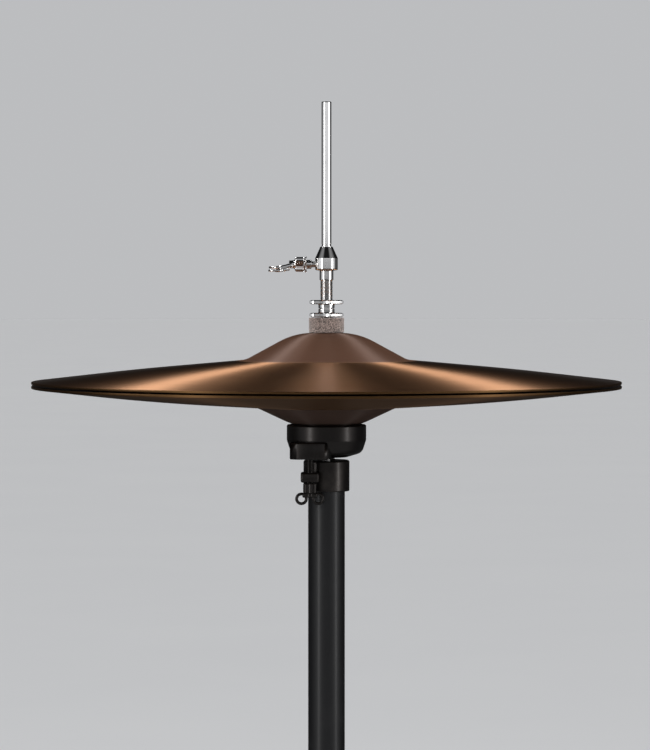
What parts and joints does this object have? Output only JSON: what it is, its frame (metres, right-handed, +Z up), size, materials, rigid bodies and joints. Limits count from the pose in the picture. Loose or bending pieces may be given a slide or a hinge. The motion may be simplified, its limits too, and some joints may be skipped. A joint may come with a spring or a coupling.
{
  "type": "hi hat",
  "caption": "Closed pair of bronze hi-hat cymbals on a pull rod with clutch, tilter seat, height-adjustable tube stand, folding braced tripod and chain-driven pedal",
  "frame": {"origin": "On the floor, under the axis of the stand's tube and pull rod, on the bottom face of the rubber floor mat.", "axes": "+Z up along the pull rod; -Y from the tube towards the heel of the pedal; +X to the right for someone who faces +Y."},
  "size_m": [0.628, 0.7052, 0.9987],
  "materials": {
    "bronze": "lathed satin bronze",
    "chrome": "polished",
    "felt": "pressed wool felt",
    "gloss_black": "gloss",
    "black_nickel": "satin black nickel",
    "cast_frame": "powder coated",
    "steel": "plated",
    "rubber": "matte",
    "nylon": "matte"
  },
  "bodies": {
    "stand": {"floor_mat": "rubber", "base_plate": "gloss_black", "stand_frame": "cast_frame", "frame_screws": "steel", "heel_plate": "gloss_black", "heel_hinge_pin": "steel", "spring_housing": "cast_frame", "lower_tube": "gloss_black", "height_bush": "nylon", "height_collar": "black_nickel", "brace_hub": "black_nickel"},
    "tension_dial": {"tension_dial": "black_nickel"},
    "pull_rod": {"upper_pull_rod": "chrome", "rod_coupling_nut": "steel", "lower_pull_rod": "steel", "spring_cap": "steel", "return_spring": "steel", "chain_yoke": "steel"},
    "chain": {"chain_links": "steel", "chain_pins": "steel", "chain_rollers": "steel"},
    "pedal": {"footboard": "gloss_black", "footboard_grips": "rubber", "toe_clamp": "cast_frame", "toe_clamp_screws": "steel"},
    "clutch": {"clutch_body": "chrome"},
    "clutch_wing": {"clutch_wing_bolt": "chrome"},
    "lower_nut": {"clutch_lower_nut": "chrome"},
    "upper_nut": {"clutch_upper_nut": "chrome"},
    "bottom_nut": {"clutch_bottom_nut": "chrome"},
    "felts": {"clutch_upper_felt": "felt", "clutch_lower_felt": "felt"},
    "top_hat": {"top_cymbal": "bronze"},
    "upper_stand": {"upper_tube": "gloss_black", "tube_bush": "nylon", "tilter_base": "black_nickel", "tilter_hinge_pin": "steel"},
    "tilt_adjuster": {"tilt_screw": "black_nickel"},
    "seat": {"seat_cup": "black_nickel", "seat_felt": "felt"},
    "bottom_hat": {"bottom_cymbal": "bronze"},
    "height_wing": {"height_wing_bolt": "black_nickel"},
    "leg_slider": {"leg_collar": "black_nickel"},
    "leg_slider_wing": {"leg_collar_wing_bolt": "black_nickel"},
    "leg_1": {"leg_1": "gloss_black", "leg_1_pins": "steel", "leg_1_foot": "rubber"},
    "brace_1": {"leg_1_brace": "gloss_black"},
    "leg_2": {"leg_2": "gloss_black", "leg_2_pins": "steel", "leg_2_foot": "rubber"},
    "brace_2": {"leg_2_brace": "gloss_black"},
    "leg_3": {"leg_3": "gloss_black", "leg_3_pins": "steel", "leg_3_foot": "rubber"},
    "brace_3": {"leg_3_brace": "gloss_black"}
  },
  "joints": [
    {"name": "rod_slide", "type": "slide", "parent": "stand", "child": "pull_rod", "axis": [0, 0, 1], "range_m": [0, 0.035], "deforming": ["return_spring"]},
    {"name": "pedal_hinge", "type": "hinge", "parent": "stand", "child": "pedal", "pos_m": [0, -0.262, 0.03], "axis": [1, 0, 0], "range_deg": [0, 8]},
    {"name": "chain_swing", "type": "hinge", "parent": "pull_rod", "child": "chain", "pos_m": [0, 0, 0.084], "axis": [1, 0, 0], "range_deg": [-7.2, 0]},
    {"name": "clutch_slide", "type": "slide", "parent": "pull_rod", "child": "clutch", "axis": [0, 0, 1], "range_m": [0, 0.06]},
    {"name": "clutch_wing_turn", "type": "hinge", "parent": "clutch", "child": "clutch_wing", "pos_m": [-0.009, 0, 0.90065], "axis": [-1, 0, 0], "range_deg": [0, 360]},
    {"name": "lower_nut_turn", "type": "hinge", "parent": "clutch", "child": "lower_nut", "pos_m": [0, 0, 0.8712], "axis": [0, 0, 1], "range_deg": [0, 360]},
    {"name": "upper_nut_turn", "type": "hinge", "parent": "clutch", "child": "upper_nut", "pos_m": [0, 0, 0.877], "axis": [0, 0, 1], "range_deg": [0, 360]},
    {"name": "bottom_nut_turn", "type": "hinge", "parent": "clutch", "child": "bottom_nut", "pos_m": [0, 0, 0.848], "axis": [0, 0, 1], "range_deg": [0, 360]},
    {"name": "cymbal_rock", "type": "hinge", "parent": "clutch", "child": "felts", "pos_m": [0, 0, 0.8587], "axis": [1, 0, 0], "range_deg": [-1.3, 1.3]},
    {"name": "top_cymbal_spin", "type": "hinge", "parent": "felts", "child": "top_hat", "pos_m": [0, 0, 0.8587], "axis": [0, 0, 1], "continuous": true},
    {"name": "height_slide", "type": "slide", "parent": "stand", "child": "upper_stand", "axis": [0, 0, 1], "range_m": [-0.12, 0]},
    {"name": "seat_tilt", "type": "hinge", "parent": "upper_stand", "child": "seat", "pos_m": [0, 0.018, 0.778], "axis": [1, 0, 0], "range_deg": [-1.2, 1.2]},
    {"name": "tilt_screw_turn", "type": "hinge", "parent": "upper_stand", "child": "tilt_adjuster", "pos_m": [-0.01, -0.0185, 0.776], "axis": [0, 0, 1], "range_deg": [-180, 180]},
    {"name": "bottom_cymbal_spin", "type": "hinge", "parent": "seat", "child": "bottom_hat", "pos_m": [0, 0, 0.803], "axis": [0, 0, 1], "continuous": true},
    {"name": "height_wing_turn", "type": "hinge", "parent": "stand", "child": "height_wing", "pos_m": [0.025, 0, 0.528], "axis": [0, 1, 0], "range_deg": [0, 360]},
    {"name": "tension_dial_turn", "type": "hinge", "parent": "stand", "child": "tension_dial", "pos_m": [0, 0, 0.157], "axis": [0, 0, 1], "range_deg": [-180, 180]},
    {"name": "leg_collar_slide", "type": "slide", "parent": "stand", "child": "leg_slider", "axis": [0, 0, 1], "range_m": [0, 0.05136]},
    {"name": "leg_collar_wing_turn", "type": "hinge", "parent": "leg_slider", "child": "leg_slider_wing", "pos_m": [0, -0.024, 0.325], "axis": [0, -1, 0], "range_deg": [0, 360]},
    {"name": "leg_1_fold", "type": "hinge", "parent": "leg_slider", "child": "leg_1", "pos_m": [0, 0.031, 0.318], "axis": [-1, 0, 0], "range_deg": [0, 32]},
    {"name": "brace_1_fold", "type": "hinge", "parent": "leg_1", "child": "brace_1", "pos_m": [0, 0.09884, 0.2515], "axis": [-1, 0, 0], "range_deg": [-64, 0]},
    {"name": "leg_2_fold", "type": "hinge", "parent": "leg_slider", "child": "leg_2", "pos_m": [-0.02685, -0.0155, 0.318], "axis": [0.5, -0.866, 0], "range_deg": [0, 32]},
    {"name": "brace_2_fold", "type": "hinge", "parent": "leg_2", "child": "brace_2", "pos_m": [-0.0856, -0.04942, 0.2515], "axis": [0.5, -0.866, 0], "range_deg": [-64, 0]},
    {"name": "leg_3_fold", "type": "hinge", "parent": "leg_slider", "child": "leg_3", "pos_m": [0.02685, -0.0155, 0.318], "axis": [0.5, 0.866, 0], "range_deg": [0, 32]},
    {"name": "brace_3_fold", "type": "hinge", "parent": "leg_3", "child": "brace_3", "pos_m": [0.0856, -0.04942, 0.2515], "axis": [0.5, 0.866, 0], "range_deg": [-64, 0]}
  ],
  "couplings": [
    {"joint": "pedal_hinge", "follows": "rod_slide", "rad_per_m": 3.8441},
    {"joint": "chain_swing", "follows": "rod_slide", "rad_per_m": -3.3828},
    {"joint": "cymbal_rock", "follows": "seat_tilt", "ratio": 1},
    {"joint": "leg_1_fold", "follows": "leg_collar_slide", "rad_per_m": 10.73},
    {"joint": "brace_1_fold", "follows": "leg_collar_slide", "rad_per_m": -21.46},
    {"joint": "leg_2_fold", "follows": "leg_collar_slide", "rad_per_m": 10.73},
    {"joint": "brace_2_fold", "follows": "leg_collar_slide", "rad_per_m": -21.46},
    {"joint": "leg_3_fold", "follows": "leg_collar_slide", "rad_per_m": 10.73},
    {"joint": "brace_3_fold", "follows": "leg_collar_slide", "rad_per_m": -21.46}
  ]
}
